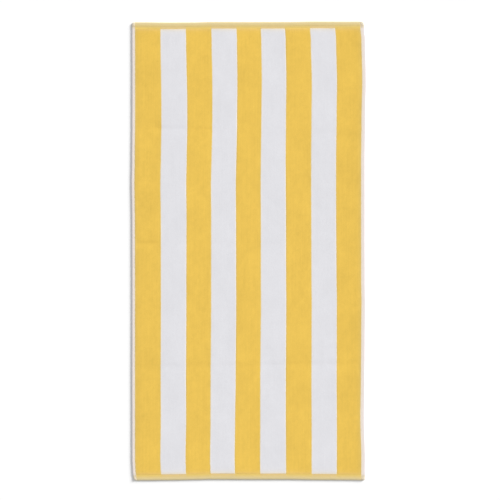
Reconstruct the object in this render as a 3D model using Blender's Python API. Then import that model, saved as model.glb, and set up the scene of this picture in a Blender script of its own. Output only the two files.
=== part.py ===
"""A beach towel lying flat with its velour face up, at real size.

It is one woven cotton cloth. Its pile field has five yellow and four white stripes along its length. Its
four edges have no pile: they are turned under twice and sewn. A hem is part of the cloth, so the cloth is
one solid.

The cloth starts as a box that is cut into a lattice. The lattice's lines lie close together over the hems
and the fold creases, and further apart between them. Each lattice point is then moved to its place.

Units are metres. +X runs across the stripes, +Y along them and +Z up. The origin is under the middle of
the cloth, on the surface that it lies on.
"""

import math

import bmesh
import bpy
from mathutils import Matrix, Vector

NAME = "towel"
COLLECTION = "beach_towel"
MM = 0.001

# Sizes of the whole cloth, between its straight mean edges.
LENGTH = 1.524
WIDTH = 0.777
CORNER_RADIUS = 8.0 * MM

# Heights above the surface that the cloth lies on. Between an end's turned hem and the first row of pile, a
# strip of one flat-woven layer is held clear of that surface.
PILE_HEIGHT = 3.2 * MM
FOLD_HEIGHT = 2.8 * MM
STRIP_UNDERSIDE = 1.4 * MM
CORNER_STACK = 0.5 * MM

# Distances from the folded edge to the first row of pile.
LEFT_HEM = 10.5 * MM
RIGHT_HEM = 13.7 * MM
TOP_HEM = 22.4 * MM
BOTTOM_HEM = 19.6 * MM

# Distances from the first row of pile back to where the turned layers of a hem end.
SIDE_TURN = 2.2 * MM
END_TURN = 9.0 * MM

# The fold at a hem's outer edge is a half round, cut at these angles from its outermost point.
FOLD_ANGLES = (20.0, 55.0, 90.0)
# How far a hem's face drops towards its folded edge.
FOLD_DROP = (
    # from the edge (mm), side hem (mm), end hem (mm)
    (1.4, 0.2, 0.4),
    (3.0, 0.07, 0.15),
    (5.5, 0.0, 0.0),
)

# Sections from a turned hem into the pile, by the distance past the first row of pile. Stitching sinks into
# the hem near its inner edge, where the turned layers end on the underside.
SIDE_SECTION = (
    # past (mm), face, underside
    (-2.6, 3.0 * MM, 0.0),
    (-1.6, 2.88 * MM, 0.0),
    (-0.8, 3.0 * MM, 0.4 * MM),
    (0.0, 3.04 * MM, 0.6 * MM),
    (1.0, 3.08 * MM, 0.5 * MM),
    (4.0, 3.14 * MM, 0.0),
    (14.0, PILE_HEIGHT, 0.0),
)
END_SECTION = (
    # past (mm), face, underside
    (-9.6, 3.2 * MM, 0.0),
    (-8.4, 3.02 * MM, 0.0),
    (-7.4, 3.06 * MM, STRIP_UNDERSIDE),
    (-1.2, 3.06 * MM, STRIP_UNDERSIDE),
    (0.0, 3.06 * MM, STRIP_UNDERSIDE),
    (1.0, 3.09 * MM, 1.1 * MM),
    (4.0, 3.15 * MM, 0.0),
    (14.0, PILE_HEIGHT, 0.0),
)
# Width over which the stack of layers at a corner rises.
STACK_EASE = 2.0 * MM

# How far each side edge stands outside its straight mean line, down the length of the cloth.
SIDE_SWAY = (
    # y (m), left (mm), right (mm)
    (-0.762, -6.0, 0.0),
    (-0.730, -1.7, 0.3),
    (-0.690, 0.0, 0.7),
    (-0.560, 0.0, -2.7),
    (-0.430, 0.3, -1.0),
    (-0.300, 0.0, 0.0),
    (-0.165, 0.0, 1.0),
    (-0.100, 0.0, 0.0),
    (0.100, 0.3, -0.3),
    (0.235, 2.0, -0.3),
    (0.300, 1.0, -0.3),
    (0.430, 0.0, 1.3),
    (0.570, -0.3, 3.7),
    (0.700, 0.0, 1.0),
    (0.740, 0.0, -2.5),
    (0.762, 0.0, -4.5),
)

# The same for the two ends, across the width of the cloth.
END_SWAY = (
    # x (m), bottom (mm), top (mm)
    (-0.388, 2.3, -1.0),
    (-0.345, 2.3, -1.0),
    (-0.255, 1.3, -2.0),
    (-0.178, 0.0, -1.3),
    (-0.128, -1.3, 0.0),
    (0.022, -0.7, 0.0),
    (0.122, -1.0, 0.0),
    (0.222, 0.3, 1.3),
    (0.328, 1.0, 1.0),
    (0.388, 2.0, 1.0),
)

# Soft troughs in the pile. The cloth was folded in quarters, which left parts of three creases across it, and
# it was pulled flat, which left two at a slant.
CREASES = (
    # x (m), y (m), angle from +X (degrees), half length (mm), half width (mm), depth (mm)
    (-0.208, 0.406, -2.5, 115.0, 8.0, 0.28),
    (-0.302, 0.410, -20.0, 16.0, 9.0, 0.30),
    (0.298, 0.384, -2.0, 95.0, 14.0, 0.36),
    (-0.345, 0.026, 2.0, 42.0, 8.0, 0.45),
    (0.060, 0.020, -0.5, 300.0, 9.0, 0.10),
    (-0.165, -0.383, 0.0, 220.0, 8.0, 0.26),
    (0.225, -0.378, 1.0, 165.0, 9.0, 0.34),
    (0.327, 0.700, -39.0, 45.0, 15.0, 0.30),
    (0.008, 0.378, -73.0, 65.0, 16.0, 0.22),
)
# A crease's flank on the lower side, or the left of a slanting one, is this many times as wide.
GENTLE_FLANK = 2.0
# Distance from the first row of pile over which the creases fade out.
CREASE_EASE = 10.0 * MM
# Where the cloth was folded, and the lattice lines beside each fold.
FOLDS = (0.404, 0.023, -0.381)
FOLD_OFFSETS = tuple(offset * MM for offset in (-34.0, -22.0, -14.0, -8.0, -3.0, 2.0, 6.0, 10.0, 16.0, 24.0))

STRIPES = 9
LINES_A_STRIPE = 3
ROW_SPACING = 40.0 * MM
LEAST_ROW_GAP = 12.0 * MM

# Linear colour and roughness of each yarn.
YARNS = {
    "yellow_pile": ((0.78, 0.52, 0.09, 1.0), 0.95),
    "white_pile": ((0.72, 0.72, 0.75, 1.0), 0.95),
    "yellow_band": ((0.74, 0.56, 0.20, 1.0), 0.85),
    "white_edge": ((0.80, 0.76, 0.68, 1.0), 0.85),
}
YARN_ORDER = tuple(YARNS)
SHARP_ANGLE = math.radians(60.0)


def clear_scene():
    for obj in list(bpy.data.objects):
        bpy.data.objects.remove(obj, do_unlink=True)


def smooth_step(share):
    share = min(max(share, 0.0), 1.0)
    return share * share * (3.0 - 2.0 * share)


def read_table(table, station, column):
    """The value of a column at a station, eased from one row of the table to the next."""
    if station <= table[0][0]:
        return table[0][column]
    for before, after in zip(table, table[1:]):
        if station <= after[0]:
            share = (station - before[0]) / (after[0] - before[0])
            return before[column] + (after[column] - before[column]) * smooth_step(share)
    return table[-1][column]


def fold_lines():
    """Distances from the cloth's edge at which the half round of the fold is cut."""
    radius = FOLD_HEIGHT / 2
    reach = [radius * (1.0 - math.cos(math.radians(angle))) for angle in FOLD_ANGLES]
    return [distance - reach[0] for distance in reach]


def edge_lines(hem, section):
    """Distances from an edge of all the lattice lines over its fold, its hem and the start of its pile."""
    drop = [row[0] * MM for row in FOLD_DROP[1:]]
    return fold_lines() + drop + [hem + row[0] * MM for row in section]


def lattice_columns():
    """The x of each lattice line along the cloth: over the hems, at the stripes' joints and between them."""
    half = WIDTH / 2
    first = -half + LEFT_HEM
    last = half - RIGHT_HEM
    count = STRIPES * LINES_A_STRIPE
    inner = [first + (last - first) * step / count for step in range(1, count)]
    left = [-half + distance for distance in edge_lines(LEFT_HEM, SIDE_SECTION)]
    right = [half - distance for distance in edge_lines(RIGHT_HEM, SIDE_SECTION)]
    return sorted(left + inner + right)


def lattice_rows():
    """The y of each lattice line across the cloth: over the hems and folds, and evenly between them."""
    half = LENGTH / 2
    bottom = [-half + distance for distance in edge_lines(BOTTOM_HEM, END_SECTION)]
    top = [half - distance for distance in edge_lines(TOP_HEM, END_SECTION)]
    taken = sorted(bottom + [fold + offset for fold in FOLDS for offset in FOLD_OFFSETS] + top)
    count = round((top[-1] - bottom[-1]) / ROW_SPACING)
    even = [bottom[-1] + (top[-1] - bottom[-1]) * step / count for step in range(1, count)]
    free = [y for y in even if min(abs(y - other) for other in taken) > LEAST_ROW_GAP]
    return sorted(taken + free)


def fold_rise(distance):
    """Half the thickness of the cloth at a distance from the outermost point of its folded edge."""
    radius = FOLD_HEIGHT / 2
    start = radius * (1.0 - math.cos(math.radians(FOLD_ANGLES[0])))
    inward = max(radius - (distance + start), 0.0)
    return math.sqrt(max(radius * radius - inward * inward, 0.0))


def crease_dip(x, y):
    """How far the creases lower the face of the pile at a point."""
    dip = 0.0
    for crease_x, crease_y, angle, half_length, half_width, depth in CREASES:
        turn = Matrix.Rotation(-math.radians(angle), 2)
        along, aside = turn @ Vector((x - crease_x, y - crease_y))
        along /= half_length * MM
        aside /= half_width * MM
        if aside < 0.0:
            aside /= GENTLE_FLANK
        dip += depth * math.exp(-(along**4) - aside**2)
    return dip * MM


def side_hem(x):
    return LEFT_HEM if x < 0.0 else RIGHT_HEM


def end_hem(y):
    return BOTTOM_HEM if y < 0.0 else TOP_HEM


def stack_share(distance, hem):
    """How much of the stack of layers stands at a distance from an edge: all of it over the hem's middle."""
    return smooth_step(distance / STACK_EASE) * smooth_step((hem - distance) / STACK_EASE)


def heights(x, y):
    """Heights of the face and the underside of the cloth at a point of the lattice."""
    from_side = WIDTH / 2 - abs(x)
    from_end = LENGTH / 2 - abs(y)
    past_side = (from_side - side_hem(x)) / MM
    past_end = (from_end - end_hem(y)) / MM
    side_face = read_table(SIDE_SECTION, past_side, 1) - read_table(FOLD_DROP, from_side / MM, 1) * MM
    end_face = read_table(END_SECTION, past_end, 1) - read_table(FOLD_DROP, from_end / MM, 2) * MM
    face = min(side_face, end_face)
    in_pile = smooth_step(min(past_side, past_end) * MM / CREASE_EASE)
    face -= crease_dip(x, y) * in_pile
    # Where a side hem is folded into an end's turned hem, the layers stack up.
    end_turned = end_hem(y) - END_TURN
    face += CORNER_STACK * stack_share(from_side, side_hem(x)) * stack_share(from_end, end_turned)
    # The hollow under an end's strip stops at the side hems, and the side hems' own at the end's turned hem.
    under = 0.0
    if past_side * MM > -SIDE_TURN:
        under = read_table(END_SECTION, past_end, 2)
    if past_end * MM > -END_TURN:
        under = max(under, read_table(SIDE_SECTION, past_side, 2))
    # Over the fold itself, both faces close in on its middle.
    middle = FOLD_HEIGHT / 2
    fold = fold_rise(min(from_side, from_end))
    if fold < middle:
        return middle + fold, middle - fold
    return face, under


def round_corner(x, y):
    """The lattice's square corners drawn in to arcs."""
    across = CORNER_RADIUS - (WIDTH / 2 - abs(x))
    along = CORNER_RADIUS - (LENGTH / 2 - abs(y))
    if across <= 0.0 or along <= 0.0:
        return x, y
    double_square = 2.0 * CORNER_RADIUS * CORNER_RADIUS
    drawn_across = across * math.sqrt(1.0 - along * along / double_square)
    drawn_along = along * math.sqrt(1.0 - across * across / double_square)
    moved_x = x - math.copysign(across - drawn_across, x)
    moved_y = y - math.copysign(along - drawn_along, y)
    return moved_x, moved_y


def sway(x, y):
    """The place in plan of a lattice point, once the edges sway in and out."""
    to_right = x / WIDTH + 0.5
    to_top = y / LENGTH + 0.5
    left_out = read_table(SIDE_SWAY, y, 1) * MM
    right_out = read_table(SIDE_SWAY, y, 2) * MM
    bottom_out = read_table(END_SWAY, x, 1) * MM
    top_out = read_table(END_SWAY, x, 2) * MM
    moved_x = x - left_out * (1.0 - to_right) + right_out * to_right
    moved_y = y - bottom_out * (1.0 - to_top) + top_out * to_top
    return moved_x, moved_y


def yarn_at(x, y):
    """The index in YARN_ORDER of the yarn that shows at a point."""
    from_side = WIDTH / 2 - abs(x)
    from_end = LENGTH / 2 - abs(y)
    if from_side < side_hem(x):
        return YARN_ORDER.index("white_edge")
    if from_end < end_hem(y):
        return YARN_ORDER.index("yellow_band")
    pile_width = WIDTH - LEFT_HEM - RIGHT_HEM
    stripe = int((x + WIDTH / 2 - LEFT_HEM) / pile_width * STRIPES)
    return YARN_ORDER.index("white_pile" if stripe % 2 else "yellow_pile")


def yarn_material(name):
    colour, roughness = YARNS[name]
    material = bpy.data.materials.new(name)
    material.use_nodes = True
    shader = material.node_tree.nodes["Principled BSDF"]
    shader.inputs["Base Color"].default_value = colour
    shader.inputs["Roughness"].default_value = roughness
    shader.inputs["Metallic"].default_value = 0.0
    material.diffuse_color = colour
    return material


def lattice_box():
    """A box of the cloth's mean size, cut at every column and row."""
    mesh = bmesh.new()
    size = Matrix.Diagonal((WIDTH, LENGTH, PILE_HEIGHT, 1.0))
    bmesh.ops.create_cube(mesh, size=1.0, matrix=size)
    cuts = [(Vector((x, 0.0, 0.0)), Vector((1.0, 0.0, 0.0))) for x in lattice_columns()[1:-1]]
    cuts += [(Vector((0.0, y, 0.0)), Vector((0.0, 1.0, 0.0))) for y in lattice_rows()[1:-1]]
    for point, normal in cuts:
        everything = mesh.verts[:] + mesh.edges[:] + mesh.faces[:]
        bmesh.ops.bisect_plane(mesh, geom=everything, plane_co=point, plane_no=normal)
    return mesh


def shape_cloth(mesh):
    """Moves every lattice point to its place on the face or the underside of the cloth."""
    for vertex in mesh.verts:
        x, y, z = vertex.co
        face, under = heights(x, y)
        vertex.co.xy = sway(*round_corner(x, y))
        vertex.co.z = face if z > 0.0 else under


def centre_in_plan(mesh):
    """Puts the middle of the cloth's outline over the origin."""
    for axis in (0, 1):
        places = [vertex.co[axis] for vertex in mesh.verts]
        middle = (min(places) + max(places)) / 2
        for vertex in mesh.verts:
            vertex.co[axis] -= middle


def build_towel(collection):
    mesh = lattice_box()
    for face in mesh.faces:
        centre = face.calc_center_median()
        face.material_index = yarn_at(centre.x, centre.y)
    shape_cloth(mesh)
    centre_in_plan(mesh)
    data = bpy.data.meshes.new(NAME)
    for yarn in YARN_ORDER:
        data.materials.append(yarn_material(yarn))
    mesh.to_mesh(data)
    mesh.free()
    data.shade_smooth()
    data.set_sharp_from_angle(angle=SHARP_ANGLE)
    towel = bpy.data.objects.new(NAME, data)
    collection.objects.link(towel)
    return towel


def main():
    clear_scene()
    collection = bpy.data.collections.new(COLLECTION)
    bpy.context.scene.collection.children.link(collection)
    build_towel(collection)


main()
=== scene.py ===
"""The finish of a beach towel that lies flat with its velour face up.

The towel is dressed as it is made. A woven ground carries the terry loops of the back. Nine velour stripes stand on
it, each a piece of its own with a yarn colour. Its four edges have no pile: the side hems are white and the end
hems pale yellow, each turned under and held by a row of stitches. Tufts break the hard line where two stripes or a
stripe and a hem meet.

Every point starts in the cloth's own coordinates: u across the stripes and v along them, in metres from the
middle, with the edges straight. plan() then moves it to its place on the floor.
"""

import math

import bpy
import numpy as np
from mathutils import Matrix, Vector


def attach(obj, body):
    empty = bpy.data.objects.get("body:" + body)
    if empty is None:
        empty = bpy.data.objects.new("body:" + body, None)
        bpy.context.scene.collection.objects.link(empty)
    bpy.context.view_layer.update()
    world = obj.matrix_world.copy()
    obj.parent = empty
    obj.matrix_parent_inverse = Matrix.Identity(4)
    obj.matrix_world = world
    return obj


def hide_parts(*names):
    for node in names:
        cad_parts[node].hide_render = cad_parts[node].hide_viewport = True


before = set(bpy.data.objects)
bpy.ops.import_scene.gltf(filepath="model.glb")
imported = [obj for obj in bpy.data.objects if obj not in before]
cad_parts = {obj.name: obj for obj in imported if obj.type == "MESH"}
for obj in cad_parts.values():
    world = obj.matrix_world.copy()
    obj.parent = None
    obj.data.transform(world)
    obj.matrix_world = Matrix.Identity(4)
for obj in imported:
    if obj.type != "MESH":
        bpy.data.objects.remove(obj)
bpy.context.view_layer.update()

MM = 0.001

# Sizes of the cloth between its straight mean edges, as in the solid.
LENGTH = 1.524
WIDTH = 0.777
CORNER_RADIUS = 8.0 * MM
PILE_HEIGHT = 3.2 * MM
FOLD_HEIGHT = 2.8 * MM
STRIP_UNDERSIDE = 1.4 * MM
CORNER_STACK = 0.5 * MM
STACK_EASE = 2.0 * MM
LEFT_HEM = 10.5 * MM
RIGHT_HEM = 13.7 * MM
TOP_HEM = 22.4 * MM
BOTTOM_HEM = 19.6 * MM
END_TURN = 9.0 * MM

# How far a hem's face drops towards its folded edge.
FOLD_DROP = (
    # from the edge (mm), side hem (mm), end hem (mm)
    (1.4, 0.2, 0.4),
    (3.0, 0.07, 0.15),
    (5.5, 0.0, 0.0),
)
# Sections from a turned hem into the pile, by the distance past the first row of pile.
SIDE_SECTION = (
    # past (mm), face, underside
    (-2.6, 3.0 * MM, 0.0),
    (-1.6, 2.88 * MM, 0.0),
    (-0.8, 3.0 * MM, 0.4 * MM),
    (0.0, 3.04 * MM, 0.6 * MM),
    (1.0, 3.08 * MM, 0.5 * MM),
    (4.0, 3.14 * MM, 0.0),
    (14.0, PILE_HEIGHT, 0.0),
)
END_SECTION = (
    # past (mm), face, underside
    (-9.6, 3.2 * MM, 0.0),
    (-8.4, 3.02 * MM, 0.0),
    (-7.4, 3.06 * MM, STRIP_UNDERSIDE),
    (-1.2, 3.06 * MM, STRIP_UNDERSIDE),
    (0.0, 3.06 * MM, STRIP_UNDERSIDE),
    (1.0, 3.09 * MM, 1.1 * MM),
    (4.0, 3.15 * MM, 0.0),
    (14.0, PILE_HEIGHT, 0.0),
)
# Past these, stitching sinks into a side hem and an end hem.
SIDE_STITCH = -1.6 * MM
END_STITCH = -8.4 * MM

# How far the edges stand outside their straight mean lines.
SIDE_SWAY = (
    # v (m), left (mm), right (mm)
    (-0.762, -6.0, 0.0),
    (-0.730, -1.7, 0.3),
    (-0.690, 0.0, 0.7),
    (-0.560, 0.0, -2.7),
    (-0.430, 0.3, -1.0),
    (-0.300, 0.0, 0.0),
    (-0.165, 0.0, 1.0),
    (-0.100, 0.0, 0.0),
    (0.100, 0.3, -0.3),
    (0.235, 2.0, -0.3),
    (0.300, 1.0, -0.3),
    (0.430, 0.0, 1.3),
    (0.570, -0.3, 3.7),
    (0.700, 0.0, 1.0),
    (0.740, 0.0, -2.5),
    (0.762, 0.0, -4.5),
)
END_SWAY = (
    # u (m), bottom (mm), top (mm)
    (-0.388, 2.3, -1.0),
    (-0.345, 2.3, -1.0),
    (-0.255, 1.3, -2.0),
    (-0.178, 0.0, -1.3),
    (-0.128, -1.3, 0.0),
    (0.022, -0.7, 0.0),
    (0.122, -1.0, 0.0),
    (0.222, 0.3, 1.3),
    (0.328, 1.0, 1.0),
    (0.388, 2.0, 1.0),
)
# How far each joint between two stripes drifts to the right of its even place.
JOINT_DRIFT = (
    # v (m), joints 1 to 8, from the left (mm)
    (-0.696, 0.7, 0.4, -1.2, -3.5, -2.3, 0.1, 1.9, 1.8),
    (-0.563, 2.7, 3.4, 1.5, -0.4, 0.2, 1.7, 4.5, 4.8),
    (-0.430, 2.2, 2.8, 1.4, 0.9, -0.5, 0.8, 2.6, 2.8),
    (-0.163, 2.5, 3.3, 2.2, 1.8, 0.6, 0.9, 1.9, 1.6),
    (0.170, 2.6, 4.5, 3.0, 1.9, 1.0, 0.8, 1.4, 0.3),
    (0.436, 4.0, 6.3, 5.9, 4.5, 1.5, -0.5, 0.8, 0.3),
    (0.703, 1.3, 2.2, 3.9, 4.1, 1.7, -1.2, -1.0, -1.0),
)

# Soft troughs in the pile, left by folding in quarters and by pulling the cloth flat.
CREASES = (
    # u (m), v (m), angle from +X (degrees), half length (mm), half width (mm), depth (mm)
    (-0.208, 0.406, -2.5, 115.0, 8.0, 0.28),
    (-0.302, 0.410, -20.0, 16.0, 9.0, 0.30),
    (0.298, 0.384, -2.0, 95.0, 14.0, 0.36),
    (-0.345, 0.026, 2.0, 42.0, 8.0, 0.45),
    (0.060, 0.020, -0.5, 300.0, 9.0, 0.10),
    (-0.165, -0.383, 0.0, 220.0, 8.0, 0.26),
    (0.225, -0.378, 1.0, 165.0, 9.0, 0.34),
    (0.327, 0.700, -39.0, 45.0, 15.0, 0.30),
    (0.008, 0.378, -73.0, 65.0, 16.0, 0.22),
)
# A crease's flank on the lower side, or the left of a slanting one, is this many times as wide.
GENTLE_FLANK = 2.0
# Distance from the first row of pile over which the creases fade out.
CREASE_EASE = 10.0 * MM
# A crease comes and goes along its length, in patches of this size, down to this share of its depth.
CREASE_PATCH = 30.0 * MM
LEAST_CREASE = 0.35
CREASE_SEED = 1585

STRIPES = 9
# Height of the woven ground that the pile stands on, and how far its edges run into the hems.
GROUND_FACE = 1.5 * MM
GROUND_TUCK = 1.5 * MM
# How far a hem's inner edge runs in under the pile.
HEM_TUCK = 1.3 * MM
# Where one of the two is tucked into the other, its underside rises by this, so that it lies inside. A hem's rises
# over the first distance past the pile's edge and the ground's over the second before it.
TUCK_LIFT = 0.22 * MM
HEM_LIFT_REACH = 0.3 * MM
GROUND_LIFT_REACH = 0.5 * MM
# The least height of a face over the underside below it.
LEAST_HEIGHT = 0.2 * MM

# Spacing of the mesh lines.
PILE_ACROSS = 2.3 * MM
PILE_ALONG = 2.6 * MM
HEM_ALONG = 2.5 * MM
GROUND_ACROSS = 9.0 * MM
GROUND_ALONG = 9.0 * MM

SEED = 7
# How far, and over what length, a joint between stripes strays from side to side.
WOBBLE = 0.35 * MM
WOBBLE_CELL = 4.0 * MM


def eased(table, station, column):
    """A column of a table at each station, eased from one row to the next."""
    rows = np.array(table)
    stations = rows[:, 0]
    values = rows[:, column]
    before = np.clip(np.searchsorted(stations, station) - 1, 0, len(stations) - 2)
    share = (station - stations[before]) / (stations[before + 1] - stations[before])
    return values[before] + (values[before + 1] - values[before]) * smooth_step(share)


def smooth_step(share):
    share = np.clip(share, 0.0, 1.0)
    return share * share * (3.0 - 2.0 * share)


def noise(u, v, cell_u, cell_v, seed):
    """Smooth noise from -1 to 1, with a random value at each corner of cells of this size."""
    rng = np.random.default_rng([SEED, seed])
    columns = int(math.ceil(2.0 * WIDTH / cell_u)) + 3
    rows = int(math.ceil(2.0 * LENGTH / cell_v)) + 3
    values = rng.uniform(-1.0, 1.0, (columns, rows))
    at_u = u / cell_u + columns / 2
    at_v = v / cell_v + rows / 2
    column = np.clip(np.floor(at_u).astype(int), 0, columns - 2)
    row = np.clip(np.floor(at_v).astype(int), 0, rows - 2)
    share_u = smooth_step(at_u - column)
    share_v = smooth_step(at_v - row)
    low = values[column, row] * (1.0 - share_u) + values[column + 1, row] * share_u
    high = values[column, row + 1] * (1.0 - share_u) + values[column + 1, row + 1] * share_u
    return low * (1.0 - share_v) + high * share_v


def lines(start, end, spacing):
    """Evenly spaced stations from start to end, both of them included."""
    count = max(int(round(abs(end - start) / spacing)), 1)
    return np.linspace(start, end, count + 1)


def side_hem(u):
    return np.where(u < 0.0, LEFT_HEM, RIGHT_HEM)


def end_hem(v):
    return np.where(v < 0.0, BOTTOM_HEM, TOP_HEM)


def past_side(u):
    """Distance past the first column of pile, from the nearer side."""
    return WIDTH / 2 - np.abs(u) - side_hem(u)


def past_end(v):
    return LENGTH / 2 - np.abs(v) - end_hem(v)


def placed(u, v):
    """The place in plan of a point of the cloth, before the whole is centred."""
    across = np.maximum(CORNER_RADIUS - (WIDTH / 2 - np.abs(u)), 0.0)
    along = np.maximum(CORNER_RADIUS - (LENGTH / 2 - np.abs(v)), 0.0)
    double_square = 2.0 * CORNER_RADIUS * CORNER_RADIUS
    x = u - np.sign(u) * across * (1.0 - np.sqrt(1.0 - along * along / double_square))
    y = v - np.sign(v) * along * (1.0 - np.sqrt(1.0 - across * across / double_square))
    to_right = x / WIDTH + 0.5
    to_top = y / LENGTH + 0.5
    left_out = eased(SIDE_SWAY, y, 1) * MM
    right_out = eased(SIDE_SWAY, y, 2) * MM
    bottom_out = eased(END_SWAY, x, 1) * MM
    top_out = eased(END_SWAY, x, 2) * MM
    moved_x = x - left_out * (1.0 - to_right) + right_out * to_right
    moved_y = y - bottom_out * (1.0 - to_top) + top_out * to_top
    return moved_x, moved_y


def outline_middle():
    """The middle of the box round the placed outline, which lies over the origin."""
    around = np.linspace(-1.0, 1.0, 2001)
    side = np.full_like(around, WIDTH / 2)
    end = np.full_like(around, LENGTH / 2)
    u = np.concatenate([side, -side, around * WIDTH / 2, around * WIDTH / 2])
    v = np.concatenate([around * LENGTH / 2, around * LENGTH / 2, end, -end])
    x, y = placed(u, v)
    return (x.min() + x.max()) / 2, (y.min() + y.max()) / 2


MIDDLE_X, MIDDLE_Y = outline_middle()


def plan(u, v):
    x, y = placed(u, v)
    return x - MIDDLE_X, y - MIDDLE_Y


def crease_dip(u, v):
    """How far the creases lower the face of the pile."""
    dip = np.zeros(np.broadcast(u, v).shape)
    for crease_u, crease_v, angle, half_length, half_width, depth in CREASES:
        turn = math.radians(angle)
        along = ((u - crease_u) * math.cos(turn) + (v - crease_v) * math.sin(turn)) / (half_length * MM)
        aside = ((v - crease_v) * math.cos(turn) - (u - crease_u) * math.sin(turn)) / (half_width * MM)
        aside = np.where(aside < 0.0, aside / GENTLE_FLANK, aside)
        dip += depth * np.exp(-(along**4) - aside**2)
    share = 0.5 + 0.5 * noise(u, v, CREASE_PATCH, 2.0 * CREASE_PATCH, CREASE_SEED)
    return dip * MM * (LEAST_CREASE + (1.0 - LEAST_CREASE) * smooth_step(1.6 * share))


def face_height(u, v):
    """Height of the cloth's face, as the solid has it."""
    side = eased(SIDE_SECTION, past_side(u) / MM, 1)
    end = eased(END_SECTION, past_end(v) / MM, 1)
    face = np.minimum(side, end)
    inside = np.minimum(past_side(u), past_end(v)) / CREASE_EASE
    return face - crease_dip(u, v) * smooth_step(inside)


def joint_line(index, v):
    """The u of a joint between stripes at each v. Joints 0 and STRIPES are the pile's outer sides."""
    first = -WIDTH / 2 + LEFT_HEM
    last = WIDTH / 2 - RIGHT_HEM
    even = first + (last - first) * index / STRIPES
    drift = 0.0 if index in (0, STRIPES) else eased(JOINT_DRIFT, v, index) * MM
    wobble = noise(np.full_like(v, even), v, 1.0, WOBBLE_CELL, 20 + index) * WOBBLE
    return even + drift + wobble


def mesh_object(name, points, faces, smooth=True):
    mesh = bpy.data.meshes.new(name)
    mesh.from_pydata(points.reshape(-1, 3).tolist(), [], faces)
    if smooth:
        mesh.shade_smooth()
    mesh.update()
    obj = bpy.data.objects.new(name, mesh)
    bpy.context.scene.collection.objects.link(obj)
    return obj


def set_values(obj, name, values):
    """A value from 0 to 1 at each point of a piece, which its material reads."""
    attribute = obj.data.attributes.new(name, "FLOAT", "POINT")
    attribute.data.foreach_set("value", np.ascontiguousarray(values, np.float32).ravel())


def cap_faces(around, paired):
    """The faces that close a ring: one face, or where its halves are paired, one between each pair and the next."""
    if not paired:
        return [list(range(around))]
    half = around // 2
    faces = [[here, here + 1, around - 2 - here, around - 1 - here] for here in range(half - 1)]
    if around % 2 == 1:
        faces.append([half - 1, half, half + 1])
    return faces


def loft(name, u, v, z, folds, hidden=(), paired=True):
    """A closed band: rings of points, one ring a row of the arrays, joined one to the next and capped.

    folds is into how many lengths its texture map is cut. hidden lists the columns of faces that never show. paired
    says that each ring's second half comes back under its first, point by point."""
    rings, around = z.shape
    x, y = plan(u, v)
    points = np.stack([x, y, z], axis=-1)
    ring = np.arange(rings - 1)[:, None] * around
    here = np.arange(around)[None, :]
    beside = (here + 1) % around
    quads = np.stack([ring + here, ring + beside, ring + around + beside, ring + around + here], axis=-1)
    faces = quads.reshape(-1, 4).tolist()
    caps = cap_faces(around, paired)
    last = (rings - 1) * around
    faces += [face[::-1] for face in caps]
    faces += [[corner + last for corner in face] for face in caps]
    obj = mesh_object(name, points, faces)
    make_outward(obj)
    map_band(obj, u, v, z, folds, hidden)
    return obj


# Gap round each length in a band's texture map, as a share of its width, and how wide hidden faces are drawn there.
MAP_GAP = 0.012
HIDDEN_WIDTH = 0.02
# The lengths reach up to here in the map, and the caps lie above.
MAP_TOP = 0.98


def map_band(obj, u, v, z, folds, hidden):
    """A texture map for a band, cut into lengths that lie side by side, so that its detail is even both ways."""
    rings, around = z.shape
    width = np.hypot(np.roll(u, -1, 1) - u + np.roll(v, -1, 1) - v, np.roll(z, -1, 1) - z).mean(axis=0)
    width[list(hidden)] *= HIDDEN_WIDTH
    across = np.append(0.0, np.cumsum(width)) / width.sum()
    along = np.hypot(np.diff(u, axis=0), np.diff(v, axis=0)).mean(axis=1)
    along = np.append(0.0, np.cumsum(along)) / along.sum()
    fold = ((along[:-1] + along[1:]) / 2 * folds).astype(int)
    low = np.array([along[:-1][fold == index].min() for index in range(folds)])
    high = np.array([along[1:][fold == index].max() for index in range(folds)])
    corner = np.empty(len(obj.data.loops), np.int32)
    obj.data.loops.foreach_get("vertex_index", corner)
    quad_corner, cap_corner = np.split(corner, [4 * around * (rings - 1)])
    face = np.repeat(np.arange(around * (rings - 1)), 4)
    row = face // around
    column = face % around
    x = across[column + (quad_corner % around - column) % around]
    y = (along[quad_corner // around] - low[fold[row]]) / (high - low)[fold[row]]
    quad_x = (fold[row] + MAP_GAP + (1.0 - 2.0 * MAP_GAP) * x) / folds
    quad_y = MAP_GAP + (MAP_TOP - 2.0 * MAP_GAP) * y
    # Each ring lies across u or across v, so that their sum runs along it.
    flat = (u + v).ravel()[cap_corner].reshape(2, -1)
    rise = z.ravel()[cap_corner].reshape(2, -1)
    flat = (flat - flat.min(axis=1, keepdims=True)) / np.ptp(flat, axis=1, keepdims=True)
    rise = (rise - rise.min(axis=1, keepdims=True)) / np.ptp(rise, axis=1, keepdims=True)
    cap_x = np.array([[0.01], [0.51]]) + 0.48 * flat
    cap_y = MAP_TOP + 0.002 + 0.016 * rise
    places = np.stack([np.append(quad_x, cap_x), np.append(quad_y, cap_y)], axis=1)
    obj.data.uv_layers.new(name="OFBake").data.foreach_set("uv", places.astype(np.float32).ravel())


def make_outward(obj):
    """Turns the faces of a closed mesh outwards."""
    mesh = obj.data
    mesh.calc_loop_triangles()
    corners = np.empty(len(mesh.loop_triangles) * 3, np.int32)
    mesh.loop_triangles.foreach_get("vertices", corners)
    places = np.empty(len(mesh.vertices) * 3)
    mesh.vertices.foreach_get("co", places)
    a, b, c = np.moveaxis(places.reshape(-1, 3)[corners.reshape(-1, 3)], 1, 0)
    if np.einsum("ij,ij->i", a, np.cross(b, c)).sum() < 0.0:
        mesh.flip_normals()


# --- Pile -------------------------------------------------------------------------------------------------------

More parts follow.
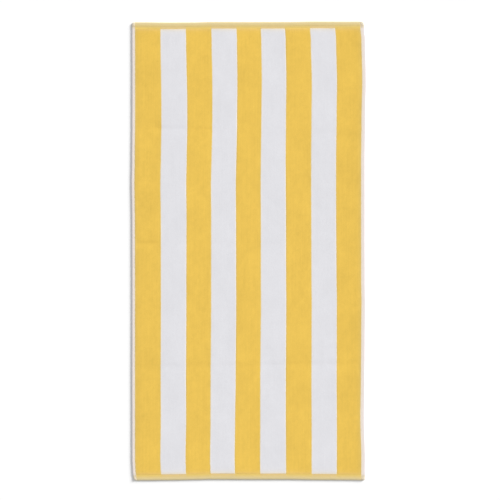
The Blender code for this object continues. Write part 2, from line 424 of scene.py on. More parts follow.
# Distances from a stripe's long edge at which its shoulder is cut, and how far the face lies below the pile there.
SHOULDER = (
    # from the joint (mm), below (mm)
    (0.0, 0.13),
    (0.2, 0.07),
    (0.8, 0.03),
    (2.2, 0.0),
)
PILE_FOOT = 1.25 * MM

# Distances over which the colour of an end's strip, of a side hem and of the stripe beside fade into a stripe, and
# over which painted shade darkens the pile towards a side hem.
RIM_REACH = 5.0 * MM
SIDE_REACH = 5.0 * MM
SHADE_REACH = 12.0 * MM
FAR_REACH = 80.0 * MM
JOINT_REACH = 3.0 * MM

# Unevenness of the sheared face: cell across, cell along, height, all in mm.
RELIEF = (
    (6.0, 7.0, 0.02),
    (11.0, 120.0, 0.02),
    (28.0, 40.0, 0.04),
    (90.0, 130.0, 0.10),
)
TUFT_JITTER = 0.03 * MM


def pile_rows():
    """The v of each line across a stripe, closer together at its ends, where the pile starts."""
    start = -LENGTH / 2 + BOTTOM_HEM
    end = LENGTH / 2 - TOP_HEM
    steps = np.array([0.0, 0.4, 0.8, 1.3, 1.9, 2.5, 3.3, 4.2, 5.5]) * MM
    inner = lines(start + steps[-1], end - steps[-1], PILE_ALONG)
    return np.concatenate([start + steps[:-1], inner, (end - steps[:-1])[::-1]])


def stripe_section(width):
    """Distances from a stripe's left edge of its lines, for a stripe of this width."""
    shoulder = np.array([row[0] for row in SHOULDER]) * MM
    inner = lines(shoulder[-1], width - shoulder[-1], PILE_ACROSS)
    return np.concatenate([shoulder[:-1], inner, (width - shoulder[:-1])[::-1]])


def relief(u, v):
    total = np.zeros(u.shape)
    for index, (across, along, height) in enumerate(RELIEF):
        total += noise(u, v, across * MM, along * MM, 40 + index) * height
    return total * MM


def build_stripe(name, index):
    """One stripe of velour, from its foot in the woven ground up to its sheared face."""
    v = pile_rows()
    left = joint_line(index, v)
    right = joint_line(index + 1, v)
    width = float(np.mean(right - left))
    share = stripe_section(width) / width
    u = left[:, None] + (right - left)[:, None] * share[None, :]
    v = np.broadcast_to(v[:, None], u.shape)
    z = face_height(u, v)
    from_left = (u - left[:, None]) / MM
    from_right = (right[:, None] - u) / MM
    if index > 0:
        z -= eased(SHOULDER, from_left, 1) * MM
    if index < STRIPES - 1:
        z -= eased(SHOULDER, from_right, 1) * MM
    inside = smooth_step(np.minimum(from_left, from_right) / 3.0) * smooth_step(past_end(v) / MM / 4.0)
    rng = np.random.default_rng([SEED, index])
    z += (relief(u, v) + rng.uniform(-1.0, 1.0, z.shape) * TUFT_JITTER) * inside
    z = np.maximum(z, PILE_FOOT + LEAST_HEIGHT)
    # Each ring runs up the left wall, over the face and down the right wall.
    foot_u = np.stack([u[:, 0], u[:, -1]], axis=1)
    foot_v = np.stack([v[:, 0], v[:, -1]], axis=1)
    end_under = eased(END_SECTION, np.maximum(past_end(foot_v), 0.0) / MM, 2)
    foot_z = np.maximum(PILE_FOOT, end_under + LEAST_HEIGHT)
    u = np.concatenate([foot_u[:, :1], u, foot_u[:, 1:]], axis=1)
    v = np.concatenate([foot_v[:, :1], v, foot_v[:, 1:]], axis=1)
    z = np.concatenate([foot_z[:, :1], z, foot_z[:, 1:]], axis=1)
    obj = loft(name, u, v, z, 4, hidden=[u.shape[1] - 1], paired=False)
    set_rims(obj, index, u, v)
    return obj


def set_rims(obj, index, u, v):
    """How much a stripe's colour turns to that of a hem, and to that of the stripes beside it."""
    from_side = np.maximum(past_side(u), 0.0)
    set_values(obj, "rim", np.exp(-np.maximum(past_end(v), 0.0) / RIM_REACH))
    set_values(obj, "side", np.exp(-from_side / SIDE_REACH))
    # Painted shade: how much darker the pile is made towards a side hem, close by and far out.
    set_values(obj, "shade", 0.5 * np.exp(-from_side / SHADE_REACH) + 0.5 * np.exp(-from_side / FAR_REACH))
    left = u - joint_line(index, v[:, :1])
    right = joint_line(index + 1, v[:, :1]) - u
    near = np.full(u.shape, 1.0)
    if index > 0:
        near = np.minimum(near, left)
    if index < STRIPES - 1:
        near = np.minimum(near, right)
    set_values(obj, "joint", np.exp(-np.maximum(near, 0.0) / JOINT_REACH))


# --- Hems -------------------------------------------------------------------------------------------------------

FOLD_STEPS = 7
# The widest gap between lines along a hem, and how far each side of the stitching its groove runs.
HEM_ACROSS = 2.0 * MM
GROOVE = 0.4 * MM
# Ripple where the stitching gathers a hem: up and down on its face, fading over the last distance before the pile,
# and in and out at its folded edge.
PUCKER_CELL = 9.0 * MM
PUCKER = 0.10 * MM
PUCKER_EASE = 2.0 * MM
EDGE_PUCKER = 0.22 * MM
# How high the stitching pulls up the underside.
BACK_STITCH = 0.45 * MM
# Half the least thickness of a side hem, at its two ends.
LEAST_HALF = 0.2 * MM
# Distances over which a side hem's colours turn to those of its corners, and an end hem's from stripe to stripe.
CORNER_BLEND = 3.0 * MM
STRIPE_BLEND = 2.0 * MM
# An end hem runs this far in under the side hems. Over the reach its face sinks, its underside rises and its folded
# edge draws in, and its face stays at least so far over its underside.
END_TUCK = 1.2 * MM
SINK_REACH = 0.8 * MM
SINK_FACE = 0.7 * MM
SINK_UNDER = 0.25 * MM
SINK_EDGE = 0.4 * MM
SINK_LEAST = 0.15 * MM


def fold_rise(distance):
    """Half the thickness of a hem at a distance from the outermost point of its folded edge."""
    radius = FOLD_HEIGHT / 2
    inward = np.clip(radius - distance, 0.0, radius)
    return np.sqrt(np.maximum(radius * radius - inward * inward, 0.0))


def hem_lines(section, stitch, hem):
    """Distances past the first row of pile of the lines along a hem, from where it is tucked in outwards."""
    radius = FOLD_HEIGHT / 2
    places = [row[0] * MM for row in section if row[0] <= 0.0]
    places += [row[0] * MM - hem for row in FOLD_DROP[1:]]
    places += [HEM_TUCK, HEM_LIFT_REACH, stitch - GROOVE, stitch + GROOVE, radius - hem]
    places.sort(reverse=True)
    filled = [places[0]]
    for place in places[1:]:
        filled += list(lines(filled[-1], place, HEM_ACROSS)[1:])
    return np.array(filled)


def hem_section(section, drop, stitch, hem):
    """The ring of a hem, from its inner edge out and back under: distances from its edge, heights, which are up."""
    radius = FOLD_HEIGHT / 2
    past = hem_lines(section, stitch, hem)
    face = eased(section, past / MM, 1) - eased(FOLD_DROP, (hem + past) / MM, drop) * MM
    face[0] = GROUND_FACE
    under = eased(section, past / MM, 2) + TUCK_LIFT * smooth_step(past / HEM_LIFT_REACH)
    under = np.where(np.abs(past - stitch) < 0.5 * GROOVE, BACK_STITCH, under)
    angles = np.linspace(math.pi / 2, -math.pi / 2, FOLD_STEPS)[1:-1]
    distance = np.concatenate([hem + past, radius * (1.0 - np.cos(angles)), hem + past[::-1]])
    height = np.concatenate([face, radius * (1.0 + np.sin(angles)), under[::-1]])
    on_face = np.arange(len(height)) < len(past) + FOLD_STEPS // 2 - 1
    return distance, height, on_face


def pucker(along, seed):
    """Ripple along a hem where the stitching gathers it."""
    fine = noise(np.zeros_like(along), along, 1.0, PUCKER_CELL, seed)
    broad = noise(np.zeros_like(along), along, 1.0, 4.0 * PUCKER_CELL, seed + 1)
    return 0.6 * fine + 0.4 * broad


def hem_stations(half):
    """Stations along a hem, closer together where its ends are rounded."""
    steps = np.array([0.0, 0.12, 0.4, 0.8, 1.4, 2.2, 3.0, 4.2, 5.5, 6.8, 8.0]) * MM
    inner = lines(-half + steps[-1], half - steps[-1], HEM_ALONG)
    return np.concatenate([-half + steps[:-1], inner, (half - steps[:-1])[::-1]])


def build_side_hem(name, side, hem, seed):
    """A white hem down one side, through both corners. side is -1 for the left and 1 for the right."""
    distance, height, on_face = hem_section(SIDE_SECTION, 1, SIDE_STITCH, hem)
    v = hem_stations(LENGTH / 2)
    middle = FOLD_HEIGHT / 2
    v = v[:, None] + 0.0 * distance[None, :]
    d = distance[None, :] + 0.0 * v
    z = height[None, :] + 0.0 * v
    ripple = pucker(v, seed)
    z = z + ripple * PUCKER * on_face * smooth_step((hem - d) / PUCKER_EASE)
    from_end = LENGTH / 2 - np.abs(v)
    end_face = eased(END_SECTION, past_end(v) / MM, 1) - eased(FOLD_DROP, from_end / MM, 2) * MM
    z = np.where(on_face, np.minimum(z, np.maximum(end_face, GROUND_FACE)), z)
    turn = end_hem(v) - END_TURN
    stack = smooth_step(from_end / STACK_EASE) * smooth_step((turn - from_end) / STACK_EASE)
    stack = stack * smooth_step(d / STACK_EASE) * smooth_step((hem - d) / STACK_EASE)
    z = z + CORNER_STACK * stack * on_face
    fold = np.where(from_end < middle, np.maximum(fold_rise(from_end), LEAST_HALF), 1.0)
    z = middle + np.clip(z - middle, -fold, fold)
    d = d + ripple * EDGE_PUCKER * smooth_step((hem - d) / hem)
    obj = loft(name, side * (WIDTH / 2 - d), v, z, 8)
    set_values(obj, "inner", smooth_step(d / hem))
    set_values(obj, "other", smooth_step((end_hem(v) - from_end) / CORNER_BLEND))
    return obj


def build_end_hem(name, end, hem, seed):
    """A pale yellow hem and strip across one end, between the side hems. end is -1 for the bottom, 1 for the top."""
    distance, height, on_face = hem_section(END_SECTION, 2, END_STITCH, hem)
    u = lines(-WIDTH / 2 + LEFT_HEM - END_TUCK, WIDTH / 2 - RIGHT_HEM + END_TUCK, HEM_ALONG)
    steps = np.array([0.5, 1.0, 1.6]) * MM
    u = np.unique(np.concatenate([u, u[0] + steps, u[-1] - steps]))
    u = u[:, None] + 0.0 * distance[None, :]
    d = distance[None, :] + 0.0 * u
    z = height[None, :] + 0.0 * u
    ripple = pucker(u, seed)
    z = z + ripple * PUCKER * on_face * smooth_step((hem - d) / PUCKER_EASE)
    sink = smooth_step(-past_side(u) / SINK_REACH)
    z = np.where(on_face, z - SINK_FACE * sink, z + SINK_UNDER * sink)
    # The underside below each point of the face is the same ring, the other way round.
    z = np.where(on_face, np.maximum(z, z[:, ::-1] + SINK_LEAST), z)
    d = d + (ripple * EDGE_PUCKER + SINK_EDGE * sink) * smooth_step((hem - d) / hem)
    v = end * (LENGTH / 2 - d)
    obj = loft(name, u, v, z, 4)
    set_values(obj, "inner", np.clip(d / hem, 0.0, 1.0))
    over_white = np.zeros(u.shape)
    for index in range(1, STRIPES):
        beyond = smooth_step((u - joint_line(index, v)) / STRIPE_BLEND + 0.5)
        over_white += beyond if index % 2 else -beyond
    set_values(obj, "other", over_white)
    return obj


# --- Stitches ---------------------------------------------------------------------------------------------------

STITCH_PITCH = 3.1 * MM
STITCH_REACH = 1.35 * MM
THREAD_RADIUS = 0.26 * MM
# How far a stitch lies aslant, as a slope, and off its row, and by how much each of these varies.
STITCH_SLANT = 0.06
SLANT_SPREAD = 0.03
ROW_SPREAD = 0.08 * MM
# How high a stitch's middle lies over the face, and how far below the underside's groove.
STITCH_RISE = 0.05 * MM
STITCH_OUT = 0.10 * MM
# How far from a side's folded edge the rows across the ends begin.
ROW_MARGIN = 3.5 * MM
# A stitch's rings: place along it, radius and height above the cloth, as shares of its reach and radius.
STITCH_RINGS = ((-1.0, 0.45, -0.9), (-0.55, 1.0, 0.35), (0.55, 1.0, 0.35), (1.0, 0.45, -0.9))
THREAD_SIDES = 5


def tube_faces(rings, sides):
    """The faces of a closed tube whose points go round one ring after another."""
    faces = []
    for start in range(0, (rings - 1) * sides, sides):
        for side in range(sides):
            beside = (side + 1) % sides
            faces.append((start + side, start + beside, start + sides + beside, start + sides + side))
    faces.append(tuple(range(sides - 1, -1, -1)))
    faces.append(tuple(range((rings - 1) * sides, rings * sides)))
    return faces


def copies(name, u, v, z, faces):
    """One mesh of many small closed forms. Each row of the arrays holds one form's points."""
    count, size = u.shape
    x, y = plan(u, v)
    points = np.stack([x, y, z], axis=-1)
    together = [[corner + size * copy for corner in face] for copy in range(count) for face in faces]
    obj = mesh_object(name, points, together)
    make_outward(obj)
    return obj


def build_stitches(name, u, v, z, up, along_v):
    """Stitches of thread at these places, along v or along u, on the face (up 1) or the underside (up -1)."""
    turns = np.arange(THREAD_SIDES) * 2.0 * math.pi / THREAD_SIDES
    along = np.array([[place] * THREAD_SIDES for place, _, _ in STITCH_RINGS]).ravel() * STITCH_REACH
    aside = np.array([radius * np.cos(turns) for _, radius, _ in STITCH_RINGS]).ravel() * THREAD_RADIUS
    above = np.array([height + radius * np.sin(turns) for _, radius, height in STITCH_RINGS]).ravel() * THREAD_RADIUS
    rng = np.random.default_rng([SEED, len(name), 5])
    slant = rng.normal(0.0, SLANT_SPREAD, u.shape)[:, None] + STITCH_SLANT
    drift = rng.normal(0.0, ROW_SPREAD, u.shape)[:, None]
    # Those of the underside are turned over, not mirrored, so that their faces still look outwards.
    away = up[:, None] * aside[None, :] + along[None, :] * slant + drift
    forward = along[None, :] + 0.0 * away
    stitch_u = u[:, None] + (away if along_v else forward)
    stitch_v = v[:, None] + (forward if along_v else away)
    stitch_z = z[:, None] + (up[:, None] * above[None, :])
    faces = tube_faces(len(STITCH_RINGS), THREAD_SIDES)
    return copies(name, stitch_u, stitch_v, stitch_z, faces)


def both_faces(places, face, under):
    """The same places twice: first on the face, at one height, then on the underside, at another."""
    height = np.concatenate([face, under])
    up = np.concatenate([np.ones(len(places)), -np.ones(len(places))])
    return np.concatenate([places, places]), height, up


def build_side_stitches(name, side, hem):
    """The row of stitches down a side hem, between the two ends' turned hems."""
    start = -LENGTH / 2 + BOTTOM_HEM - END_TURN
    end = LENGTH / 2 - TOP_HEM + END_TURN
    v = np.arange(start + STITCH_PITCH, end - STITCH_PITCH, STITCH_PITCH)
    row = WIDTH / 2 - hem - SIDE_STITCH
    face = np.full(v.shape, float(eased(SIDE_SECTION, np.array(SIDE_STITCH / MM), 1)) + STITCH_RISE)
    under = np.full(v.shape, BACK_STITCH - STITCH_OUT)
    v, z, up = both_faces(v, face, under)
    return build_stitches(name, np.full(v.shape, side * row), v, z, up, True)


def build_end_stitches(name, end, hem):
    """The row of stitches across an end's hem, from one side's folded edge to the other's."""
    u = np.arange(-WIDTH / 2 + ROW_MARGIN, WIDTH / 2 - ROW_MARGIN, STITCH_PITCH)
    row = LENGTH / 2 - hem - END_STITCH
    face = np.full(u.shape, float(eased(END_SECTION, np.array(END_STITCH / MM), 1)) + STITCH_RISE)
    under = np.full(u.shape, BACK_STITCH - STITCH_OUT)
    u, z, up = both_faces(u, face, under)
    return build_stitches(name, u, np.full(u.shape, end * row), z, up, False)


# --- Tufts ------------------------------------------------------------------------------------------------------

TUFT_PITCH = 1.15 * MM
TUFT_RADIUS = 0.45 * MM
# A tuft's tip is this share of its root's radius, and stands at least so far above its root.
TUFT_TIP = 0.6
LEAST_TUFT = 0.05 * MM
TUFT_SIDES = 3
# How deep in the pile a tuft's root lies, and how far from an end's strip the first tufts of the joints stand.
ROOT_DEPTH = 0.35 * MM
END_GAP = 0.8 * MM
# Ranges in mm of how far a root lies inside its stripe, and of how far its tip leans out over a joint or a strip and
# stands above the face there.
ROOT_INSIDE = (0.25, 1.1)
JOINT_LEAN = (0.1, 1.0)
STRIP_LEAN = (0.1, 0.9)
JOINT_RISE = (-0.25, 0.04)
STRIP_RISE = (-0.10, 0.20)


def tuft_rows(white):
    """Roots and tips of the tufts along the rims of all the stripes of one colour."""
    rng = np.random.default_rng([SEED, 90 + white])
    start = -LENGTH / 2 + BOTTOM_HEM + END_GAP
    end = LENGTH / 2 - TOP_HEM - END_GAP
    count = int((end - start) / TUFT_PITCH)
    roots = []
    tips = []
    for index in range(white, STRIPES, 2):
        for joint, inward in ((index, 1.0), (index + 1, -1.0)):
            v = start + (np.arange(count) + rng.uniform(0.1, 0.9, count)) * TUFT_PITCH
            rim = joint_line(joint, v)
            root_u = rim + inward * rng.uniform(*ROOT_INSIDE, count) * MM
            tip_u = rim - inward * rng.uniform(*JOINT_LEAN, count) * MM
            tip_v = v + rng.normal(0.0, 0.5, count) * MM
            rise = rng.uniform(*JOINT_RISE, count) * MM
            roots.append((root_u, v, face_height(root_u, v) - ROOT_DEPTH))
            tips.append((tip_u, tip_v, face_height(tip_u, tip_v) + rise))
        left = joint_line(index, np.array([0.0]))[0] + MM
        right = joint_line(index + 1, np.array([0.0]))[0] - MM
        across = int((right - left) / TUFT_PITCH)
        for edge, inward in ((start - END_GAP, 1.0), (end + END_GAP, -1.0)):
            share = (np.arange(across) + rng.uniform(0.1, 0.9, across)) / across
            v = np.full(across, edge)
            u = joint_line(index, v) + (joint_line(index + 1, v) - joint_line(index, v)) * share
            root_v = edge + inward * rng.uniform(*ROOT_INSIDE, across) * MM
            tip_v = edge - inward * rng.uniform(*STRIP_LEAN, across) * MM
            tip_u = u + rng.normal(0.0, 0.4, across) * MM
            rise = rng.uniform(*STRIP_RISE, across) * MM
            roots.append((u, root_v, face_height(u, root_v) - ROOT_DEPTH))
            tips.append((tip_u, tip_v, face_height(tip_u, tip_v) + rise))
    root = np.concatenate(roots, axis=1)
    tip = np.concatenate(tips, axis=1)
    tip[2] = np.maximum(tip[2], root[2] + LEAST_TUFT)
    return root, tip


def build_tufts(name, white):
    """Small locks of pile that lean out over the joints and hems round the stripes of one colour."""
    root, tip = tuft_rows(white)
    count = root.shape[1]
    rng = np.random.default_rng([SEED, 95 + white])
    turn = rng.uniform(0.0, 2.0 * math.pi, count)
    radius = TUFT_RADIUS * rng.uniform(0.7, 1.25, count)
    angles = turn[:, None] + np.arange(TUFT_SIDES) * 2.0 * math.pi / TUFT_SIDES
    rings = []
    for centre, size in ((root, radius), (tip, radius * TUFT_TIP)):
        ring_u = centre[0][:, None] + size[:, None] * np.cos(angles)
        ring_v = centre[1][:, None] + size[:, None] * np.sin(angles)
        rings.append((ring_u, ring_v, centre[2][:, None] + 0.0 * angles))
    u, v, z = np.concatenate(rings, axis=2)
    faces = tube_faces(2, TUFT_SIDES)
    obj = copies(name, u, v, z, faces)
    set_values(obj, "joint", np.full(u.shape, 0.5))
    return obj


# --- Ground and back --------------------------------------------------------------------------------------------

# How far the ground's face lies below the hems' tucked edges, and the unevenness of the looped back.
GROUND_DROP = 0.1 * MM
LOOP_CELL = 14.0 * MM
LOOP_RELIEF = 0.12 * MM


def build_ground(name):
    """The woven ground under the pile, with the loops of the back as its underside."""
    v_start = -LENGTH / 2 + BOTTOM_HEM - GROUND_TUCK
    v_end = LENGTH / 2 - TOP_HEM + GROUND_TUCK
    steps = np.array([0.0, 0.9, 1.8, 2.6, 3.4, 4.6]) * MM
    v = lines(v_start + steps[-1], v_end - steps[-1], GROUND_ALONG)
    v = np.concatenate([v_start + steps[:-1], v, (v_end - steps[:-1])[::-1]])
    joints = [joint_line(index, v) for index in range(STRIPES + 1)]
    joints[0] = joints[0] - GROUND_TUCK
    joints[-1] = joints[-1] + GROUND_TUCK
    columns = []
    stripe_of = []
    for index, (left, right) in enumerate(zip(joints, joints[1:])):
        width = float(np.mean(right - left))
        share = lines(0.0, width, GROUND_ACROSS)[:-1] / width
        if index == 0:
            share = np.unique(np.concatenate([steps / width, share[share > steps[-1] / width]]))
        if index == STRIPES - 1:
            share = np.unique(np.concatenate([share[share < 1.0 - steps[-1] / width], 1.0 - steps[1:] / width]))
        columns += [left + (right - left) * s for s in share]
        stripe_of += [index] * len(share)
    columns.append(joints[-1])
    stripe_of.append(STRIPES - 1)
    u = np.stack(columns, axis=1)
    v = np.broadcast_to(v[:, None], u.shape)
    side_under = eased(SIDE_SECTION, np.maximum(past_side(u), 0.0) / MM, 2)
    end_under = eased(END_SECTION, np.maximum(past_end(v), 0.0) / MM, 2)
    uneven = np.abs(noise(u, v, LOOP_CELL, LOOP_CELL, 60)) * LOOP_RELIEF
    under = np.maximum(side_under, end_under) + uneven
    # Where it is tucked into a hem, its underside lies inside that.
    tucked = smooth_step(-np.minimum(past_side(u), past_end(v)) / GROUND_LIFT_REACH)
    under += TUCK_LIFT * tucked
    face = np.maximum(GROUND_FACE - GROUND_DROP, under + LEAST_HEIGHT)
    # Each ring runs over the face from left to right and back along the underside.
    ring_u = np.concatenate([u, u[:, ::-1]], axis=1)
    ring_v = np.concatenate([v, v[:, ::-1]], axis=1)
    ring_z = np.concatenate([face, under[:, ::-1]], axis=1)
    obj = loft(name, ring_u, ring_v, ring_z, 1, hidden=range(u.shape[1] - 1))
    # Its faces have the second material under the yellow stripes. The last ones are its caps.
    ring_stripes = np.array(stripe_of + stripe_of[-2::-1] + [0])
    slots = np.zeros(len(obj.data.polygons))
    slots[: len(ring_stripes) * (len(v) - 1)] = np.tile(1 - ring_stripes % 2, len(v) - 1)
    obj.data.polygons.foreach_set("material_index", slots.astype(np.int32))
    return obj


# --- Materials --------------------------------------------------------------------------------------------------


def wire(tree, kind, values, **settings):
    """A new node with these settings, whose inputs are linked to sockets or set to values."""
    node = tree.nodes.new("ShaderNode" + kind)
    for name, value in settings.items():
        setattr(node, name, value)
    for key, value in values.items():
        if isinstance(value, bpy.types.NodeSocket):
            tree.links.new(value, node.inputs[key])
        else:
            node.inputs[key].default_value = value
    return node


def mixed(tree, factor, first, second):
    """A colour between two others. Each is a socket or a linear colour."""
    def rgba(colour):
        return colour if isinstance(colour, bpy.types.NodeSocket) else (*colour, 1.0)
    return wire(tree, "Mix", {0: factor, 6: rgba(first), 7: rgba(second)}, data_type="RGBA").outputs[2]


def toned(tree, colour, changes, tone=1.0):
    """A colour made lighter and darker: changes holds pairs of a 0 to 1 socket and how far it sways the tone."""
    for socket, sway in changes:
        centred = wire(tree, "Math", {0: socket, 1: 0.5}, operation="SUBTRACT").outputs[0]
        tone = wire(tree, "Math", {0: centred, 1: 2.0 * sway, 2: tone}, operation="MULTIPLY_ADD").outputs[0]
    return wire(tree, "HueSaturation", {"Value": tone, "Color": colour}).outputs[0]


EVEN = (1.0, 1.0, 1.0)


def patches(tree, place, stretch, scale, detail=1.0):
    """Soft noise from 0 to 1, stretched by the three factors."""
    mapped = wire(tree, "Mapping", {"Vector": place, "Scale": stretch}).outputs[0]
    return wire(tree, "TexNoise", {"Vector": mapped, "Scale": scale, "Detail": detail}).outputs[0]


def factor(tree, name):
    return wire(tree, "Attribute", {}, attribute_name=name).outputs["Fac"]


def new_material(name, colour, roughness, sheen):
    """A cloth material and its node tree, with the values that are the same all over set on its shader."""
    material = bpy.data.materials.new(name)
    material.use_nodes = True
    material.diffuse_color = (*colour, 1.0)
    shader = material.node_tree.nodes["Principled BSDF"]
    shader.inputs["Roughness"].default_value = roughness
    shader.inputs["Specular IOR Level"].default_value = 0.12
    shader.inputs["Sheen Weight"].default_value = sheen
    shader.inputs["Sheen Roughness"].default_value = 0.5
    return material, material.node_tree, shader


def finish_material(tree, shader, colour, height, depth, strength):
    """Links a material's colour, and the relief of a 0 to 1 height that is this deep."""
    bump = wire(tree, "Bump", {"Strength": strength, "Distance": depth, "Height": height})
    tree.links.new(colour, shader.inputs["Base Color"])
    tree.links.new(bump.outputs[0], shader.inputs["Normal"])


def pile_material(name, yarn, rim, joint, beside, mottle, broad):
    """Sheared velour: fine tufts, faint streaks down the warp and soft uneven patches."""
    material, tree, shader = new_material(name, yarn, 0.95, 0.08)
    place = wire(tree, "TexCoord", {}).outputs["Object"]
    tufts = wire(tree, "TexVoronoi", {"Vector": place, "Scale": 1.4 * TUFTS_A_METRE}).outputs["Distance"]
    fibre = patches(tree, place, EVEN, 3.0 * TUFTS_A_METRE, 2.0)
    colour = mixed(tree, factor(tree, "rim"), yarn, rim)
    side = wire(tree, "Math", {0: factor(tree, "side"), 1: SIDE_MIX}, operation="MULTIPLY").outputs[0]
    colour = mixed(tree, side, colour, SIDE_RIM)
    near = factor(tree, "joint")
    share = wire(tree, "Math", {0: near, 1: JOINT_MIX}, operation="MULTIPLY").outputs[0]
    colour = mixed(tree, share, colour, joint)
    # Tufts of the stripe beside stray in among this one's: half of them at the joint, and few a millimetre away.
    nearest = wire(tree, "Math", {0: near, 1: STRAY_FALL}, operation="POWER").outputs[0]
    odds = wire(tree, "Math", {0: nearest, 1: STRAY_DROP, 2: -STRAY_LEVEL}, operation="MULTIPLY_ADD").outputs[0]
    lean = patches(tree, place, EVEN, 1.2 * TUFTS_A_METRE, 2.0)
    strays = wire(tree, "Math", {0: lean, 1: odds}, operation="ADD").outputs[0]
    edged = {0: strays, 1: STRAY_EDGE, 2: 0.5}
    stray = wire(tree, "Math", edged, operation="MULTIPLY_ADD", use_clamp=True).outputs[0]
    colour = mixed(tree, stray, colour, beside)
    # Painted shade: the pile is made darker towards a side hem.
    shading = {0: factor(tree, "shade"), 1: -SIDE_SHADE, 2: 1.0}
    shade = wire(tree, "Math", shading, operation="MULTIPLY_ADD").outputs[0]
    # The tone is darker where the bump sinks between tufts and lighter on the fibres: painted shade in the hollows.
    colour = toned(tree, colour, (
        (patches(tree, place, (1.0, 0.8, 1.0), 12.0, 2.0), broad),
        (patches(tree, place, (1.0, 0.7, 1.0), 42.0, 2.0), 1.2 * mottle),
        (patches(tree, place, (1.0, 0.6, 1.0), 130.0), mottle),
        (patches(tree, place, (1.0, 0.02, 1.0), 260.0), mottle),
        (tufts, -0.08),
        (fibre, 0.10),
    ), shade)
    height = wire(tree, "Math", {0: tufts, 1: -0.8, 2: fibre}, operation="MULTIPLY_ADD").outputs[0]
    finish_material(tree, shader, colour, height, depth=0.22 * MM, strength=0.30)
    return material


def weave_material(name, outer, inner, other_outer, other_inner):
    """Flat weave: fine ribs both ways, in one colour or another by the piece's own values."""
    material, tree, shader = new_material(name, inner, 0.88, 0.03)
    place = wire(tree, "TexCoord", {}).outputs["Object"]
    across = factor(tree, "inner")
    here = mixed(tree, across, outer, inner)
    there = mixed(tree, across, other_outer, other_inner)
    colour = mixed(tree, factor(tree, "other"), here, there)
    warp = wire(tree, "TexWave", {"Vector": place, "Scale": WAVES_A_METRE, "Distortion": 0.4}, bands_direction="X")
    weft = wire(tree, "TexWave", {"Vector": place, "Scale": WAVES_A_METRE, "Distortion": 0.4}, bands_direction="Y")
    weave = wire(tree, "Math", {0: warp.outputs["Fac"], 1: weft.outputs["Fac"]}, operation="MULTIPLY").outputs[0]
    # The weave's tone is lighter where its bump is high: painted shade in the hollows of the ribs.
    colour = toned(tree, colour, (
        (patches(tree, place, EVEN, 60.0, 2.0), 0.03),
        (patches(tree, place, EVEN, 700.0), 0.03),
        (weave, 0.04),
    ))
    finish_material(tree, shader, colour, weave, depth=0.16 * MM, strength=0.6)
    return material


def loop_material(name, yarn):
    """The looped terry of the back."""
    material, tree, shader = new_material(name, yarn, 0.95, 0.08)
    place = wire(tree, "TexCoord", {}).outputs["Object"]
    loops = wire(tree, "TexVoronoi", {"Vector": place, "Scale": LOOPS_A_METRE}).outputs["Distance"]
    fibre = patches(tree, place, EVEN, 4.0 * LOOPS_A_METRE)
    # The tone is darker where the bump sinks between loops: painted shade in the hollows.
    colour = toned(tree, (*yarn, 1.0), (
        (patches(tree, place, (1.0, 0.7, 1.0), 42.0, 2.0), 0.02),
        (loops, -0.18),
        (fibre, 0.05),
    ))
    flipped = wire(tree, "Math", {0: 1.0, 1: loops}, operation="SUBTRACT").outputs[0]
    finish_material(tree, shader, colour, flipped, depth=1.2 * MM, strength=0.8)
    return material


def thread_material(name, colour):
    """Plied sewing thread."""
    material, tree, shader = new_material(name, colour, 0.6, 0.0)
    place = wire(tree, "TexCoord", {}).outputs["Object"]
    ply = wire(tree, "TexWave", {"Vector": place, "Scale": 2.0 * WAVES_A_METRE}, bands_direction="DIAGONAL")
    plies = ply.outputs["Fac"]
    # The plies' tone is lighter where their bump is high: painted shade between the plies.
    shade = toned(tree, (*colour, 1.0), ((plies, 0.08), (patches(tree, place, EVEN, 300.0), 0.05)))
    finish_material(tree, shader, shade, plies, depth=0.08 * MM, strength=0.5)
    return material


# Spacing of the textures. A wave texture's period is about a third of a metre over its scale.
TUFTS_A_METRE = 900.0
LOOPS_A_METRE = 560.0
WAVES_A_METRE = 480.0
# How much blended colour shows at a joint and beside a side hem, and how far painted shade darkens the pile there.
JOINT_MIX = 0.55
SIDE_MIX = 0.6
SIDE_SHADE = 0.045
# A stray tuft shows where noise from 0 to 1 is over the level, which is lower by the drop at a joint. The drop fades
# with this power of nearness, and a stray tuft begins this sharply.
STRAY_LEVEL = 0.83
STRAY_DROP = 0.33
STRAY_FALL = 4.0
STRAY_EDGE = 14.0

# Linear colours. Where colours meet, each is tinted by light off the other.
YELLOW = (0.757, 0.497, 0.087)
WHITE = (0.690, 0.687, 0.716)
YELLOW_RIM = (0.77, 0.53, 0.17)
WHITE_RIM = (0.78, 0.68, 0.50)
# Beside a side hem the yellow pile turns darker and greyer: partly the hem's colour blended in, partly painted
# shade.
SIDE_RIM = (0.62, 0.49, 0.19)
YELLOW_JOINT = (0.67, 0.50, 0.15)
WHITE_JOINT = (0.77, 0.70, 0.60)
# Each hem's colour at its folded edge and at its inner edge, then the same where it meets the other kind of cloth.
BAND = ((0.68, 0.58, 0.35), (0.76, 0.54, 0.125), (0.68, 0.58, 0.32), (0.73, 0.53, 0.215))
# Side hems are greyer and darker at the folded edge: partly the cloth's tint, partly painted shade of the fold.
EDGE = ((0.735, 0.68, 0.68), (0.82, 0.72, 0.60), (0.71, 0.635, 0.52), (0.71, 0.61, 0.43))

pile_yellow = pile_material("pile_yellow", YELLOW, YELLOW_RIM, YELLOW_JOINT, WHITE, 0.044, 0.078)
pile_white = pile_material("pile_white", WHITE, WHITE_RIM, WHITE_JOINT, YELLOW, 0.017, 0.040)
hem_yellow = weave_material("hem_yellow", *BAND)
hem_white = weave_material("hem_white", *EDGE)
back_yellow = loop_material("back_yellow", YELLOW)
back_white = loop_material("back_white", WHITE)
thread_white = thread_material("thread_white", (0.70, 0.66, 0.60))
thread_yellow = thread_material("thread_yellow", (0.70, 0.54, 0.22))


def dress(obj, material):
    obj.data.materials.append(material)
    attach(obj, "root")
    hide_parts("towel")


# --- The towel --------------------------------------------------------------------------------------------------

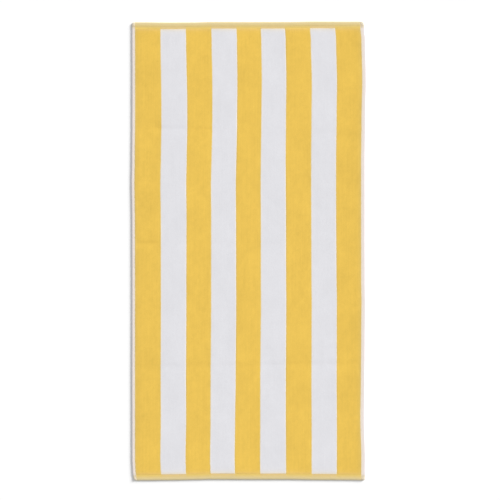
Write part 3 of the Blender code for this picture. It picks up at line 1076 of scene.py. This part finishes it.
ground = build_ground("towel_ground")
dress(ground, back_white)
ground.data.materials.append(back_yellow)


def add_piece(piece, material):
    dress(piece, material)


for stripe in range(STRIPES):
    white = stripe % 2 == 1
    kind = "white" if white else "yellow"
    piece = build_stripe(f"pile_{kind}_{stripe // 2 + 1}", stripe)
    add_piece(piece, pile_white if white else pile_yellow)
add_piece(build_tufts("tufts_yellow", 0), pile_yellow)
add_piece(build_tufts("tufts_white", 1), pile_white)

for side, hem, label in ((-1, LEFT_HEM, "left"), (1, RIGHT_HEM, "right")):
    add_piece(build_side_hem(f"hem_{label}", side, hem, 70 + side), hem_white)
    add_piece(build_side_stitches(f"stitches_{label}", side, hem), thread_white)
for end, hem, label in ((-1, BOTTOM_HEM, "bottom"), (1, TOP_HEM, "top")):
    add_piece(build_end_hem(f"hem_{label}", end, hem, 80 + end), hem_yellow)
    add_piece(build_end_stitches(f"stitches_{label}", end, hem), thread_yellow)


# --- Floor, light and camera ------------------------------------------------------------------------------------


def build_floor():
    mesh = bpy.data.meshes.new("floor")
    half = FLOOR_HALF
    mesh.from_pydata([(-half, -half, 0), (half, -half, 0), (half, half, 0), (-half, half, 0)], [], [(0, 1, 2, 3)])
    floor = bpy.data.objects.new("floor", mesh)
    floor.location.z = -FLOOR_DROP
    bpy.context.scene.collection.objects.link(floor)
    material = bpy.data.materials.new("floor_paper")
    material.use_nodes = True
    shader = material.node_tree.nodes["Principled BSDF"]
    shader.inputs["Base Color"].default_value = (0.92, 0.92, 0.92, 1.0)
    shader.inputs["Roughness"].default_value = 0.9
    shader.inputs["Specular IOR Level"].default_value = 0.0
    mesh.materials.append(material)


def build_light():
    scene = bpy.context.scene
    world = bpy.data.worlds.new("studio")
    scene.world = world
    world.use_nodes = True
    background = world.node_tree.nodes["Background"]
    background.inputs["Color"].default_value = (1.0, 1.0, 1.0, 1.0)
    background.inputs["Strength"].default_value = FILL
    sun = bpy.data.lights.new("key", "SUN")
    sun.energy = KEY / math.sin(KEY_ELEVATION)
    sun.angle = KEY_SPREAD
    key = bpy.data.objects.new("key", sun)
    towards = Vector((
        math.cos(KEY_ELEVATION) * math.cos(KEY_AZIMUTH),
        math.cos(KEY_ELEVATION) * math.sin(KEY_AZIMUTH),
        math.sin(KEY_ELEVATION),
    ))
    key.rotation_euler = towards.to_track_quat("Z", "Y").to_euler()
    scene.collection.objects.link(key)


def build_camera():
    camera = bpy.data.cameras.new("camera")
    camera.sensor_width = SENSOR_MM
    camera.lens = SENSOR_MM * CAMERA_HEIGHT / FRAME_WIDTH
    camera.clip_end = 100.0
    obj = bpy.data.objects.new("camera", camera)
    obj.location = (VIEW_X, VIEW_Y, CAMERA_HEIGHT)
    bpy.context.scene.collection.objects.link(obj)
    bpy.context.scene.camera = obj


# Fill is the radiance of the surroundings. Key is the key light's irradiance on the floor.
FILL = 0.54
KEY = 1.80
KEY_ELEVATION = math.radians(15.0)
KEY_AZIMUTH = math.radians(38.0)
KEY_SPREAD = math.radians(20.0)

# Half the floor's side in metres, and how far it lies below the cloth, so that the two don't coincide.
FLOOR_HALF = 15.0
FLOOR_DROP = 0.05 * MM

# The size of one of the photograph's pixels on the cloth.
PIXEL = 3.329 * MM
FRAME_PIXELS = 500
FRAME_WIDTH = FRAME_PIXELS * PIXEL
CAMERA_HEIGHT = 10.0
SENSOR_MM = 36.0
# The towel's box is centred on this point of the photograph.
BOX_CENTRE_PX = (248.82, 250.97)
VIEW_X = (FRAME_PIXELS / 2 - BOX_CENTRE_PX[0]) * PIXEL
VIEW_Y = (BOX_CENTRE_PX[1] - FRAME_PIXELS / 2) * PIXEL

build_floor()
build_light()
build_camera()
bpy.context.scene.view_settings.view_transform = "Standard"
